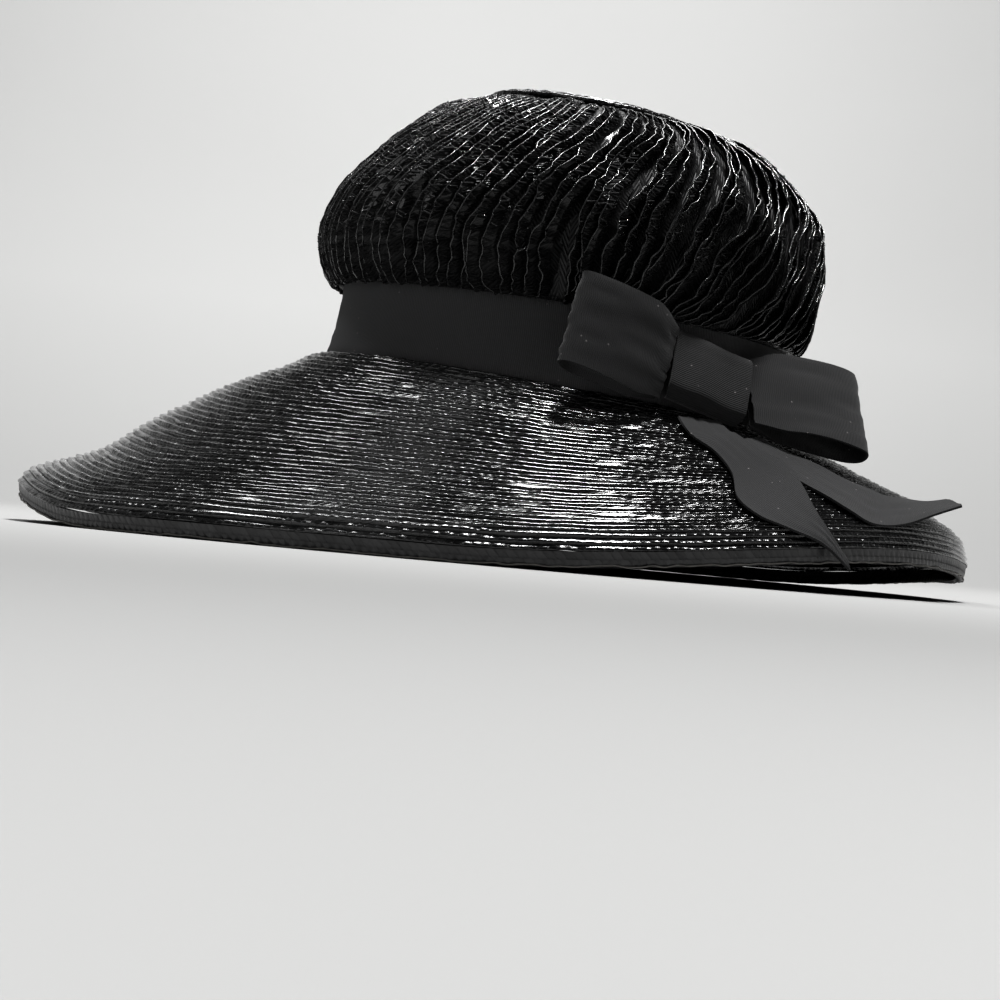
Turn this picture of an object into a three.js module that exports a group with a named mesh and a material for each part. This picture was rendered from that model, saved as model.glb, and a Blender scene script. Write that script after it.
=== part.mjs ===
// A wide-brimmed straw hat with a gathered crown, a ribbon hatband and a flat bow.
// Millimetres, +Z up. The front of the hat is at -Y and the wearer's left at +X. The two sides of
// the rim rest on Z = 0, and the front and the back of the rim rise clear of it.
import * as THREE from "three";

// ---- Driving dimensions ----

const BRIM_LENGTH = 396; // front to back over the rim
const BRIM_WIDTH = 360; // side to side over the rim
const BRIM_WALL = 1.8;
const BRIM_SEGMENTS = 72;
const LIP_HEIGHT = 6; // from the rim's widest line down to the lip's foot

const HEAD_LENGTH = 192; // the opening for the head, front to back
const HEAD_WIDTH = 167;
const HEAD_MIDDLE = 22.5; // how far the opening's centre lies behind the rim's
const HEADLINE_FRONT = 80; // height of the headline at the front and at the back
const HEADLINE_BACK = 60;

const CROWN_WALL = 1.6;
const GATHERS = 40; // ribs round the crown
const POINTS_PER_GATHER = 3;
const SWIRL = 20; // degrees that a rib turns on its way down from the tip

const RIBBON_WALL = 1.1;
const RIBBON_WIDTH = 38;
const GAP = 0.3; // between pieces that touch
const BOW_TURN = 117; // degrees from the front round to the wearer's left

// Height lost between the headline and the rim, as a share of the whole, at shares of the brim's span.
const BRIM_FALL = [
  { span: 0.0, front: 0.0, side: 0.0, back: 0.0 },
  { span: 0.05, front: 0.004, side: 0.006, back: 0.006 },
  { span: 0.15, front: 0.1, side: 0.1, back: 0.08 },
  { span: 0.3, front: 0.225, side: 0.23, back: 0.18 },
  { span: 0.45, front: 0.385, side: 0.385, back: 0.29 },
  { span: 0.6, front: 0.56, side: 0.545, back: 0.39 },
  { span: 0.72, front: 0.73, side: 0.665, back: 0.47 },
  { span: 0.84, front: 0.83, side: 0.77, back: 0.625 },
  { span: 0.93, front: 0.89, side: 0.85, back: 0.73 },
  { span: 0.975, front: 0.935, side: 0.91, back: 0.83 },
  { span: 1.0, front: 1.0, side: 1.0, back: 1.0 },
];

// How far the lip's foot rises over the rest plane, by degrees round from the front. It lies level
// between two rows of 0, and those stretches carry the hat.
const RIM_RISE = [
  { turn: 0, rise: 10.5 },
  { turn: 35, rise: 0 },
  { turn: 80, rise: 0 },
  { turn: 140, rise: 13 },
  { turn: 180, rise: 7 },
  { turn: 225, rise: 0 },
  { turn: 305, rise: 0 },
  { turn: 360, rise: 10.5 },
];

// The lip: distance in from the rim's widest line and height over the lip's foot, outside then inside.
const LIP_OUTSIDE = [
  { inset: 0.6, height: 2.4 },
  { inset: 1.3, height: 0 },
];
const LIP_INSIDE = [
  { inset: 3.5, height: 0 },
  { inset: 3.3, height: 2.6 },
  { inset: 3.2, height: 6 },
];

// Rings of the hatband's outside, from the headline up: height and Y at the front and at the back,
// and half the width.
const BAND_RINGS = [
  { frontZ: 80, backZ: 60, frontY: -76.7, backY: 121.5, half: 86.5 },
  { frontZ: 96, backZ: 77, frontY: -73, backY: 119.3, half: 83.8 },
  { frontZ: 113, backZ: 95, frontY: -71.5, backY: 118.3, half: 82.5 },
];

// Rings of the gathered crown's outside, from the fold over the band's upper edge up to the tip, with
// the depth of the gathers there.
const CROWN_RINGS = [
  { frontZ: 113.6, backZ: 95.6, frontY: -72.4, backY: 119.2, half: 83.4, gather: 0 },
  { frontZ: 109, backZ: 97.5, frontY: -75.3, backY: 122.3, half: 86.3, gather: 0.8 },
  { frontZ: 117, backZ: 108, frontY: -80, backY: 126, half: 90.5, gather: 2.2 },
  { frontZ: 131, backZ: 127, frontY: -82.5, backY: 128.5, half: 92.5, gather: 2.8 },
  { frontZ: 146, backZ: 145, frontY: -78, backY: 127, half: 90, gather: 2.8 },
  { frontZ: 158, backZ: 156, frontY: -69.5, backY: 121.8, half: 84.5, gather: 2.6 },
  { frontZ: 171.5, backZ: 167, frontY: -57, backY: 112, half: 77, gather: 2.4 },
  { frontZ: 182.5, backZ: 176, frontY: -43.5, backY: 99.5, half: 67, gather: 2.2 },
  { frontZ: 189.5, backZ: 182, frontY: -30.5, backY: 86, half: 54.5, gather: 1.8 },
  { frontZ: 193, backZ: 184.5, frontY: -14.5, backY: 71.5, half: 37.5, gather: 0.8 },
];
const CROWN_LEVELS = 9; // on the outside
const CROWN_INNER_LEVELS = 4;
const CROWN_INNER_START = 0.22; // the lowest level inside that follows the crown's rings

// The tip's rings, as shares of its radius, and their height over the crown's top ring.
const TIP_OVERHANG = 3; // past the crown's top ring
const TIP_TOP = [
  { share: 0, height: 3.4 },
  { share: 0.4, height: 3.3 },
  { share: 0.72, height: 3 },
  { share: 0.93, height: 2.5 },
  { share: 1, height: 1.4 },
];
const TIP_UNDERSIDE = [
  { share: 0.985, height: 0.3 },
  { share: 0.9, height: 0.6 },
  { share: 0, height: 1.8 },
];

const BAND_LEVELS = 2;

// The loops in the bow's own frame, from the knot round the fold and back: distance along the band
// towards the back, and straight out from it.
const LOOP_FRONT = [
  { along: -19.3, out: 2 },
  { along: -31, out: 2 },
  { along: -46, out: 0.6 },
  { along: -58, out: -0.6 },
  { along: -64.5, out: 3 },
  { along: -62.5, out: 8.5 },
  { along: -48, out: 11.5 },
  { along: -31, out: 11 },
  { along: -19.3, out: 6 },
];
const LOOP_BACK = [
  { along: 20, out: 2 },
  { along: 34, out: 1.6 },
  { along: 51, out: 0.4 },
  { along: 65, out: 0.2 },
  { along: 72, out: 4 },
  { along: 69.5, out: 9.5 },
  { along: 54, out: 12 },
  { along: 36, out: 11 },
  { along: 20, out: 6 },
];
const LOOP_STEPS = 20;
const LOOP_PINCH = 0.78; // of the ribbon's width that is left where a loop enters the knot
const LOOP_PINCH_END = 34; // along the band, where the ribbon has its full width again
const LOOPS = [
  { name: "bow_loop_front", rows: LOOP_FRONT, lift: -1.5, dip: 17.5, lean: 10 },
  { name: "bow_loop_back", rows: LOOP_BACK, lift: -3.2, dip: 7.5, lean: 32 },
];
const KNOT_DIP = 17; // degrees that the back end of the bow hangs below its front end
const KNOT_LEAN = 22; // degrees that the bow's upper edge leans in
const BOW_LIFT = -4; // of the bow's middle above the band's
const BOW_STANDOFF = 6; // of the bow's middle from the band
const KNOT_LENGTH = 35; // along the band
const KNOT_HEIGHT = 30;
const KNOT_DEPTH = 9;

// Tails, from the knot to the cut end: where the edge nearer the rim runs, and the edge nearer the crown.
const TAIL_NEAR = [
  { rimX: 96.4, rimY: 59.4, rimZ: 62, crownX: 86, crownY: 77.5, crownZ: 62.2 },
  { rimX: 107, rimY: 63, rimZ: 55.6, crownX: 94, crownY: 80.5, crownZ: 58.3 },
  { rimX: 114, rimY: 71.5, rimZ: 49.4, crownX: 100, crownY: 82.5, crownZ: 57.4 },
  { rimX: 127.3, rimY: 76.8, rimZ: 41.3, crownX: 110, crownY: 90, crownZ: 51.6 },
  { rimX: 145, rimY: 76.6, rimZ: 32, crownX: 115, crownY: 99, crownZ: 47.3 },
  { rimX: 155.5, rimY: 83, rimZ: 25.8, crownX: 127, crownY: 103.5, crownZ: 39.5 },
  { rimX: 156.5, rimY: 94.5, rimZ: 22, crownX: 141, crownY: 107, crownZ: 29.7 },
  { rimX: 153.5, rimY: 108, rimZ: 17.5, crownX: 148, crownY: 112, crownZ: 21.6 },
  { rimX: 154, rimY: 119, rimZ: 8.5, crownX: 151, crownY: 118.5, crownZ: 12 },
];
const TAIL_FAR = [
  { rimX: 92, rimY: 85, rimZ: 55.8, crownX: 82, crownY: 94, crownZ: 57.4 },
  { rimX: 102, rimY: 92.5, rimZ: 49.8, crownX: 84, crownY: 106, crownZ: 53 },
  { rimX: 112, rimY: 102.5, rimZ: 43, crownX: 88, crownY: 117, crownZ: 48.8 },
  { rimX: 121, rimY: 111.5, rimZ: 37.4, crownX: 93, crownY: 126, crownZ: 44.4 },
  { rimX: 130, rimY: 122.5, rimZ: 31, crownX: 98, crownY: 134, crownZ: 41.4 },
  { rimX: 131, rimY: 132, rimZ: 27, crownX: 97, crownY: 142, crownZ: 39 },
  { rimX: 119, rimY: 147, rimZ: 28.5, crownX: 88, crownY: 150, crownZ: 39 },
  { rimX: 113, rimY: 160, rimZ: 33.5, crownX: 84, crownY: 162, crownZ: 38.5 },
  { rimX: 108, rimY: 171, rimZ: 37.5, crownX: 84, crownY: 171, crownZ: 40 },
];
const TAIL_STEPS = 16;
const TAIL_ACROSS = 4;

// ---- Materials ----

const straw = new THREE.MeshStandardMaterial({ color: 0x0c0c0e, roughness: 0.28, metalness: 0 });
const gathered = new THREE.MeshStandardMaterial({ color: 0x0a0a0b, roughness: 0.22, metalness: 0 });
const ribbon = new THREE.MeshStandardMaterial({ color: 0x262628, roughness: 0.85, metalness: 0 });

// ---- Helpers ----

const degrees = THREE.MathUtils.degToRad;
const mix = THREE.MathUtils.lerp;

// A named column of a table, read smoothly at a share from 0 to 1 of the way through its rows.
function smooth(rows, column, share) {
  const points = rows.map((row, i) => new THREE.Vector2(i, row[column]));
  return new THREE.SplineCurve(points).getPoint(share).y;
}

// A named column of a table, read straight between the rows at a value of its first column.
function between(rows, key, column, value) {
  const last = rows.length - 2;
  const i = Math.min(Math.max(rows.findIndex((row) => row[key] > value) - 1, 0), last);
  const low = rows[value >= rows[last + 1][key] ? last : i];
  const high = rows[rows.indexOf(low) + 1];
  return mix(low[column], high[column], (value - low[key]) / (high[key] - low[key]));
}

// A ring round the Z axis: every point of the closed section is placed at every turn by place().
function ring(section, segments, place) {
  const profile = [...section, section[0]].map((_, i) => new THREE.Vector2(1 + i, 0));
  return placed(new THREE.LatheGeometry(profile, segments), section, place);
}

// A closed disc: its section starts and ends on the axis.
function disc(section, segments, place) {
  const profile = section.map((_, i) => new THREE.Vector2(1 + i, 0));
  return placed(new THREE.LatheGeometry(profile, segments), section, place, 1);
}

function placed(geometry, section, place, closed = 0) {
  const { position, uv } = geometry.attributes;
  for (let i = 0; i < position.count; i++) {
    const step = Math.round(uv.getY(i) * (section.length - closed));
    const turn = (Math.round(uv.getX(i) * geometry.parameters.segments) % geometry.parameters.segments)
      * (2 * Math.PI / geometry.parameters.segments);
    position.setXYZ(i, ...place(section[step % section.length], turn).toArray());
  }
  geometry.computeVertexNormals();
  return geometry;
}

// ---- Brim ----

function footHeight(turn) {
  const around = THREE.MathUtils.euclideanModulo(THREE.MathUtils.radToDeg(turn), 360);
  const next = RIM_RISE.findIndex((row) => row.turn > around);
  const from = RIM_RISE[next - 1];
  const to = RIM_RISE[next];
  return mix(from.rise, to.rise, THREE.MathUtils.smoothstep(around, from.turn, to.turn));
}

function brimFall(span, turn) {
  const lengthwise = Math.cos(turn) ** 2;
  const end = Math.cos(turn) > 0 ? "front" : "back";
  return mix(
    between(BRIM_FALL, "span", "side", span),
    between(BRIM_FALL, "span", end, span),
    lengthwise,
  );
}

function brimPoint(span, turn) {
  const halfWidth = mix(HEAD_WIDTH, BRIM_WIDTH, span) / 2;
  const halfLength = mix(HEAD_LENGTH, BRIM_LENGTH, span) / 2;
  const headline = mix(HEADLINE_BACK, HEADLINE_FRONT, (1 + Math.cos(turn)) / 2);
  return new THREE.Vector3(
    halfWidth * Math.sin(turn),
    mix(HEAD_MIDDLE, 0, span) - halfLength * Math.cos(turn),
    mix(headline, footHeight(turn) + LIP_HEIGHT, brimFall(span, turn)),
  );
}

function brimNormal(span, turn) {
  const step = 0.02;
  const low = Math.max(span - step, 0);
  const high = Math.min(span + step, 1);
  const outward = brimPoint(high, turn).sub(brimPoint(low, turn));
  const around = brimPoint(span, turn + step).sub(brimPoint(span, turn - step));
  return outward.cross(around).normalize();
}

function brimGeometry() {
  const top = BRIM_FALL.map(({ span }) => ({ span, depth: 0 }));
  const underside = BRIM_FALL.filter(({ span }) => span < 0.99).reverse()
    .map(({ span }) => ({ span, depth: BRIM_WALL }));
  const section = [...top, ...LIP_OUTSIDE, ...LIP_INSIDE, ...underside].reverse();
  return ring(section, BRIM_SEGMENTS, ({ span, depth, inset, height }, turn) => {
    if (span !== undefined) {
      const normal = span > 0 ? brimNormal(span, turn) : new THREE.Vector3(0, 0, 1);
      return brimPoint(span, turn).addScaledVector(normal, -depth);
    }
    const rim = brimPoint(1, turn);
    const inward = brimPoint(0, turn).sub(rim).setZ(0).normalize();
    return rim.addScaledVector(inward, inset).setZ(footHeight(turn) + height);
  });
}

// ---- Crown ----

// A point of the surface through a table's rings, at a share of the way up them and out from them.
function ringPoint(rings, share, turn, out) {
  const frontY = smooth(rings, "frontY", share);
  const backY = smooth(rings, "backY", share);
  const forward = (1 + Math.cos(turn)) / 2;
  return new THREE.Vector3(
    (smooth(rings, "half", share) + out) * Math.sin(turn),
    (frontY + backY) / 2 - ((backY - frontY) / 2 + out) * Math.cos(turn),
    mix(smooth(rings, "backZ", share), smooth(rings, "frontZ", share), forward) + GAP,
  );
}

// The rib's section: a steep side, a crest and a long fall.
function gatherDepth(turn) {
  const point = Math.round((turn * GATHERS * POINTS_PER_GATHER) / (2 * Math.PI));
  return [1, 0, 0.35][point % POINTS_PER_GATHER];
}

function crownWallGeometry() {
  const levels = (count) => Array.from({ length: count + 1 }, (_, i) => i / count);
  const underBand = -RIBBON_WALL - GAP;
  const section = [
    ...levels(2).map((foot) => ({ foot, out: underBand })),
    ...levels(CROWN_LEVELS).map((share) => ({ share, out: 0 })),
    ...levels(CROWN_INNER_LEVELS).map((step) => ({
      share: mix(1, CROWN_INNER_START, step),
      out: -CROWN_WALL,
    })),
    ...levels(2).map((step) => ({ foot: 1 - step, out: underBand - CROWN_WALL })),
  ];
  return ring(section, GATHERS * POINTS_PER_GATHER, ({ foot, share, out }, turn) => {
    if (foot !== undefined) return ringPoint(BAND_RINGS, foot, turn, out);
    const swirl = degrees(SWIRL) * THREE.MathUtils.smoothstep(share, 0.15, 0.85);
    const gather = smooth(CROWN_RINGS, "gather", share);
    const depth = out < 0 ? gather : gather * gatherDepth(turn);
    const point = ringPoint(CROWN_RINGS, share, turn + swirl, out - depth);
    const flat = out < 0 ? THREE.MathUtils.smoothstep(share, 0.5, 1) * CROWN_WALL : 0;
    return point.setZ(point.z - flat);
  });
}

function crownTipGeometry() {
  const top = CROWN_RINGS.at(-1);
  const middle = (top.frontY + top.backY) / 2;
  const halfLength = (top.backY - top.frontY) / 2 + TIP_OVERHANG;
  return disc([...TIP_UNDERSIDE.toReversed(), ...TIP_TOP.toReversed()], 48, ({ share, height }, turn) => {
    const along = -share * halfLength * Math.cos(turn);
    const slope = (top.backZ - top.frontZ) / (top.backY - top.frontY);
    return new THREE.Vector3(
      share * (top.half + TIP_OVERHANG) * Math.sin(turn),
      middle + along,
      (top.frontZ + top.backZ) / 2 + along * slope + height + GAP,
    );
  });
}

// ---- Ribbon ----

function hatbandGeometry() {
  const levels = Array.from({ length: BAND_LEVELS + 1 }, (_, i) => i / BAND_LEVELS);
  const section = [
    ...levels.map((height) => ({ height, out: 0 })),
    ...levels.toReversed().map((height) => ({ height, out: -RIBBON_WALL })),
  ];
  return ring(section, BRIM_SEGMENTS, ({ height, out }, turn) => ringPoint(BAND_RINGS, height, turn, out));
}

// The frame that the bow is built in, on the outside of the band: X runs towards the back, Y into the
// crown and Z up.
function bowFrame() {
  const turn = degrees(BOW_TURN);
  const middle = ringPoint(BAND_RINGS, 0.5, turn, BOW_STANDOFF);
  const along = ringPoint(BAND_RINGS, 0.5, turn + 0.01, BOW_STANDOFF).sub(middle).setZ(0).normalize();
  const up = new THREE.Vector3(0, 0, 1);
  const inward = new THREE.Vector3().crossVectors(up, along);
  return new THREE.Matrix4().makeBasis(along, inward, up).setPosition(middle.setZ(middle.z + BOW_LIFT));
}

// A ribbon standing on edge: the stroke of a curve through the rows, as wide as the ribbon.
function loopGeometry(rows) {
  const line = new THREE.SplineCurve(rows.map((row) => new THREE.Vector2(row.along, -row.out)));
  const left = [];
  const right = [];
  for (let i = 0; i <= LOOP_STEPS; i++) {
    const point = line.getPoint(i / LOOP_STEPS);
    const tangent = line.getTangent(i / LOOP_STEPS);
    const side = new THREE.Vector2(-tangent.y, tangent.x).multiplyScalar(RIBBON_WALL / 2);
    left.push(point.clone().add(side));
    right.push(point.clone().sub(side));
  }
  const outline = new THREE.Shape([...left, ...right.reverse()]);
  const geometry = new THREE.ExtrudeGeometry(outline, { depth: RIBBON_WIDTH, steps: 1, bevelEnabled: false });
  geometry.translate(0, 0, -RIBBON_WIDTH / 2);
  const { position } = geometry.attributes;
  for (let i = 0; i < position.count; i++) {
    const open = THREE.MathUtils.smoothstep(Math.abs(position.getX(i)), KNOT_LENGTH / 2, LOOP_PINCH_END);
    position.setZ(i, position.getZ(i) * mix(LOOP_PINCH, 1, open));
  }
  geometry.computeVertexNormals();
  return geometry;
}

// The wrap over the loops' ends: a ribbon folded over the bow from top to bottom, open behind.
function knotGeometry() {
  const half = KNOT_HEIGHT / 2;
  const corner = 6;
  const wrap = new THREE.Shape();
  wrap.moveTo(-half, 0);
  wrap.quadraticCurveTo(-half, KNOT_DEPTH, -half + corner, KNOT_DEPTH);
  wrap.lineTo(half - corner, KNOT_DEPTH);
  wrap.quadraticCurveTo(half, KNOT_DEPTH, half, 0);
  wrap.lineTo(half - RIBBON_WALL, 0);
  wrap.quadraticCurveTo(half - RIBBON_WALL, KNOT_DEPTH - RIBBON_WALL, half - corner, KNOT_DEPTH - RIBBON_WALL);
  wrap.lineTo(-half + corner, KNOT_DEPTH - RIBBON_WALL);
  wrap.quadraticCurveTo(-half + RIBBON_WALL, KNOT_DEPTH - RIBBON_WALL, -half + RIBBON_WALL, 0);
  const settings = { depth: KNOT_LENGTH, steps: 1, curveSegments: 5, bevelEnabled: false };
  const geometry = new THREE.ExtrudeGeometry(wrap, settings).translate(0, 0, -KNOT_LENGTH / 2);
  const up = new THREE.Vector3(0, 0, 1);
  const outward = new THREE.Vector3(0, -1, 0);
  return geometry.applyMatrix4(new THREE.Matrix4().makeBasis(up, outward, new THREE.Vector3(1, 0, 0)));
}

// A tail: a thin strip between the two edges of its table.
function tailGeometry(rows) {
  const edge = (side, share) =>
    new THREE.Vector3(...["X", "Y", "Z"].map((axis) => smooth(rows, side + axis, share)));
  const geometry = new THREE.BoxGeometry(1, 1, 1, TAIL_ACROSS, TAIL_STEPS, 1);
  const { position } = geometry.attributes;
  const step = 0.01;
  for (let i = 0; i < position.count; i++) {
    const share = position.getY(i) + 0.5;
    const crownSide = edge("crown", share);
    const rimSide = edge("rim", share);
    const low = Math.max(share - step, 0);
    const high = Math.min(share + step, 1);
    const forward = edge("rim", high).add(edge("crown", high)).sub(edge("rim", low)).sub(edge("crown", low));
    const up = rimSide.clone().sub(crownSide).cross(forward).normalize();
    const point = crownSide.lerp(rimSide, position.getX(i) + 0.5)
      .addScaledVector(up, (position.getZ(i) + 0.5) * RIBBON_WALL);
    position.setXYZ(i, point.x, point.y, point.z);
  }
  geometry.computeVertexNormals();
  return geometry;
}

// ---- Assembly ----

function piece(name, geometry, material) {
  const mesh = new THREE.Mesh(geometry, material);
  mesh.name = name;
  return mesh;
}

const hat = new THREE.Group();
hat.add(piece("brim", brimGeometry(), straw));
hat.add(piece("crown_wall", crownWallGeometry(), gathered));
hat.add(piece("crown_tip", crownTipGeometry(), straw));
hat.add(piece("hatband", hatbandGeometry(), ribbon));

const bow = new THREE.Group();
bow.applyMatrix4(bowFrame());
for (const { name, rows, lift, dip, lean } of LOOPS) {
  const loop = piece(name, loopGeometry(rows), ribbon);
  loop.position.setZ(lift);
  loop.rotation.set(-degrees(lean), degrees(dip), 0);
  bow.add(loop);
}
const knot = piece("bow_knot", knotGeometry(), ribbon);
knot.rotation.set(-degrees(KNOT_LEAN), degrees(KNOT_DIP), 0);
bow.add(knot);
hat.add(bow);

hat.add(piece("bow_tail_near", tailGeometry(TAIL_NEAR), ribbon));
hat.add(piece("bow_tail_far", tailGeometry(TAIL_FAR), ribbon));

export default hat;
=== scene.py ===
"""A black wide-brimmed straw hat: rows of glossy braid, a gathered crown, a grosgrain band and a bow.

Run as a script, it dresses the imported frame. The tables are in millimetres, in the frame's axes: +Z up,
the front of the hat at -Y and the wearer's left at +X. A turn is an angle from the front round to the
wearer's left.
"""
import functools
import math

import bpy
import numpy as np
from mathutils import Matrix, Vector


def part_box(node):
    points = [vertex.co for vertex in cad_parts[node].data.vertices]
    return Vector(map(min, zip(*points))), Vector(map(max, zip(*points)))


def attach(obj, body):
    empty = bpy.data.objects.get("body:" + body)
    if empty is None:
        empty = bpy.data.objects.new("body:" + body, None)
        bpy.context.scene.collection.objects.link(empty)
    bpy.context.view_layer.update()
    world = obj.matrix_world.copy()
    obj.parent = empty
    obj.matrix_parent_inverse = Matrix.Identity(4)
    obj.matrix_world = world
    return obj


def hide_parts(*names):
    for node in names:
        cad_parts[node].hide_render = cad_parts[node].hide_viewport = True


bl_info = {
    "name": "Straw Hat",
    "version": (1, 0, 0),
    "blender": (4, 5, 0),
    "location": "View3D > Sidebar > Straw Hat",
    "description": "Builds a wide-brimmed straw hat with a gathered crown, a ribbon band and a bow",
    "category": "Object",
}

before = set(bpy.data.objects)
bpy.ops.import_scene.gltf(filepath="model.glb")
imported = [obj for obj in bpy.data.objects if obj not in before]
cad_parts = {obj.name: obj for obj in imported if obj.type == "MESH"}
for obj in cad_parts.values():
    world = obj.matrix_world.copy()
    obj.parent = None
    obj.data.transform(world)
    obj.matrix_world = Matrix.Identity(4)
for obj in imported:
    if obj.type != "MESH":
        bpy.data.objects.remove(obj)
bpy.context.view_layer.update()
MM = 0.001
UP = np.array([0.0, 0.0, 1.0])


def table(columns, *rows):
    """A table with named columns, each of them an array."""
    return dict(zip(columns.split(), np.array(rows, float).T))


# ---- The form, as the frame's solids have it ----

BRIM_LOW, BRIM_HIGH = (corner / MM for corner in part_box("brim"))
BRIM_WIDTH = BRIM_HIGH.x - BRIM_LOW.x
BRIM_LENGTH = BRIM_HIGH.y - BRIM_LOW.y
BRIM_WALL = 1.8
LIP_HEIGHT = 6
HEAD_LENGTH = 192
HEAD_WIDTH = 167
HEAD_MIDDLE = 22.5
HEADLINE_FRONT = 80
HEADLINE_BACK = 60

# Height lost from the headline to the rim, as a share of the whole, at shares of the brim's span.
BRIM_FALL = table(
    "span front side back",
    (0, 0, 0, 0),
    (0.05, 0.004, 0.006, 0.006),
    (0.15, 0.1, 0.1, 0.08),
    (0.3, 0.225, 0.23, 0.18),
    (0.45, 0.385, 0.385, 0.29),
    (0.6, 0.56, 0.545, 0.39),
    (0.72, 0.73, 0.665, 0.47),
    (0.84, 0.83, 0.77, 0.625),
    (0.93, 0.89, 0.85, 0.73),
    (0.975, 0.935, 0.91, 0.83),
    (1, 1, 1, 1),
)

# How far the lip's foot rises over the floor, by degrees round from the front.
RIM_RISE = table(
    "turn rise", (0, 10.5), (35, 0), (80, 0), (140, 13), (180, 7), (225, 0), (305, 0), (360, 10.5)
)

# The lip's section from the rim's widest line down its outside and up its inside.
LIP_SECTION = table(
    "inset height",
    (0, 6), (0.15, 5), (0.3, 4), (0.45, 3), (0.7, 2), (1, 1), (1.4, 0.35),
    (2.3, 0.1), (3.2, 0.4), (3.4, 1.4), (3.3, 2.6), (3.25, 4.2), (3.2, 6),
)

# Rings of the band's outside, from the headline up.
BAND_RINGS = table(
    "front_z back_z front_y back_y half",
    (80, 60, -76.7, 121.5, 86.5),
    (96, 77, -73, 119.3, 83.8),
    (113, 95, -71.5, 118.3, 82.5),
)

# Rings of the crown's outside, from the fold over the band's upper edge up to the tip.
CROWN_RINGS = table(
    "front_z back_z front_y back_y half gather",
    (113.6, 95.6, -72.4, 119.2, 83.4, 0),
    (109, 97.5, -75.3, 122.3, 86.3, 0.8),
    (117, 108, -80, 126, 90.5, 2.2),
    (131, 127, -82.5, 128.5, 92.5, 2.8),
    (146, 145, -78, 127, 90, 2.8),
    (158, 156, -69.5, 121.8, 84.5, 2.6),
    (171.5, 167, -57, 112, 77, 2.4),
    (182.5, 176, -43.5, 99.5, 67, 2.2),
    (189.5, 182, -30.5, 86, 54.5, 1.8),
    (193, 184.5, -14.5, 71.5, 37.5, 0.8),
)
CROWN_WALL = 1.6
TIP_OVERHANG = 3
TIP_TOP = table("share height", (0, 3.4), (0.4, 3.3), (0.72, 3), (0.93, 2.5), (1, 1.4))
RIBBON_WALL = 1.1
RIBBON_WIDTH = 38
GAP = 0.3

# The bow's loops, from the knot round the fold and back: along the band, and straight out from it.
LOOP_FRONT = table(
    "along out",
    (-19.3, 2), (-31, 2), (-46, 0.6), (-58, -0.6), (-64.5, 3), (-62.5, 8.5), (-48, 11.5), (-31, 11),
    (-19.3, 6),
)
LOOP_BACK = table(
    "along out",
    (20, 2), (34, 1.6), (51, 0.4), (65, 0.2), (72, 4), (69.5, 9.5), (54, 12), (36, 11), (20, 6),
)
LOOPS = {
    "bow_loop_front": {"rows": LOOP_FRONT, "lift": -1.5, "dip": 17.5, "lean": 10},
    "bow_loop_back": {"rows": LOOP_BACK, "lift": -3.2, "dip": 7.5, "lean": 32},
}
LOOP_PINCH = 0.78
LOOP_PINCH_END = 34
BOW_TURN = math.radians(117)
BOW_LIFT = -4
BOW_STANDOFF = 6
KNOT_DIP = 17
KNOT_LEAN = 22
KNOT_LENGTH = 35
KNOT_HEIGHT = 30
KNOT_FOLDS = 1.6

# The knot's wrap from under the bow, over its front and back: height as a share of the knot's.
KNOT_SECTION = table(
    "height out",
    (-0.47, 0.5), (-0.5, 4), (-0.4, 7.6), (-0.2, 8.4), (0, 8.5), (0.2, 8.4), (0.4, 7.6), (0.5, 4),
    (0.47, 0.5),
)

# The tails' two edges, from the knot to the cut end.
TAIL_NEAR = table(
    "rim_x rim_y rim_z crown_x crown_y crown_z",
    (96.4, 59.4, 62, 86, 77.5, 62.2),
    (107, 63, 55.6, 94, 80.5, 58.3),
    (114, 71.5, 49.4, 100, 82.5, 57.4),
    (127.3, 76.8, 41.3, 110, 90, 51.6),
    (145, 76.6, 32, 115, 99, 47.3),
    (155.5, 83, 25.8, 127, 103.5, 39.5),
    (156.5, 94.5, 22, 141, 107, 29.7),
    (153.5, 108, 17.5, 148, 112, 21.6),
    (154, 119, 8.5, 151, 118.5, 12),
)
TAIL_FAR = table(
    "rim_x rim_y rim_z crown_x crown_y crown_z",
    (92, 85, 55.8, 82, 94, 57.4),
    (102, 92.5, 49.8, 84, 106, 53),
    (112, 102.5, 43, 88, 117, 48.8),
    (121, 111.5, 37.4, 93, 126, 44.4),
    (130, 122.5, 31, 98, 134, 41.4),
    (131, 132, 27, 97, 142, 39),
    (119, 147, 28.5, 88, 150, 39),
    (113, 160, 33.5, 84, 162, 38.5),
    (108, 171, 37.5, 84, 171, 40),
)
TAILS = {"bow_tail_near": TAIL_NEAR, "bow_tail_far": TAIL_FAR}

# ---- The rows, gathers and ribbon that dress the form ----

# A row's section, from the edge under its neighbour to its free edge: share across, and rise.
ROW_SECTION = table("across rise", (0, -0.5), (0.14, 0.0), (0.46, 0.55), (0.78, 1.0), (0.95, 0.55))

# How the brim's rows stray: sideways as a share of a row's width, in height as a share of their rise, and
# up and down in millimetres. The underside has fewer rows, which end inside the lip, at a share of the
# brim's span.
ROW_SWAY = 0.12
ROW_SWELL = 0.35
ROW_RIPPLE = 0.16
UNDERSIDE_END = 0.965
ROWS_IN_LIP = 4

# The lip's stitches round the rim and their slant, in stitches for each millimetre, then how far its plait
# swells, its wall sways and its foot rises and falls, and how low the foot may come.
LIP_STITCHES = 360
LIP_SLANT = 0.16
LIP_SWELL = 0.22
LIP_SWAY = 0.25
LIP_RIPPLE = 0.15
LIP_CLEARANCE = 0.05

# The thread's place, which is as far in from the rim as it is up, its slack both ways, radius and twists.
THREAD_PLACE = 0.75
THREAD_SLACK = (0.25, 0.4)
THREAD_RADIUS = 0.34
THREAD_TWISTS = 1200

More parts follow.
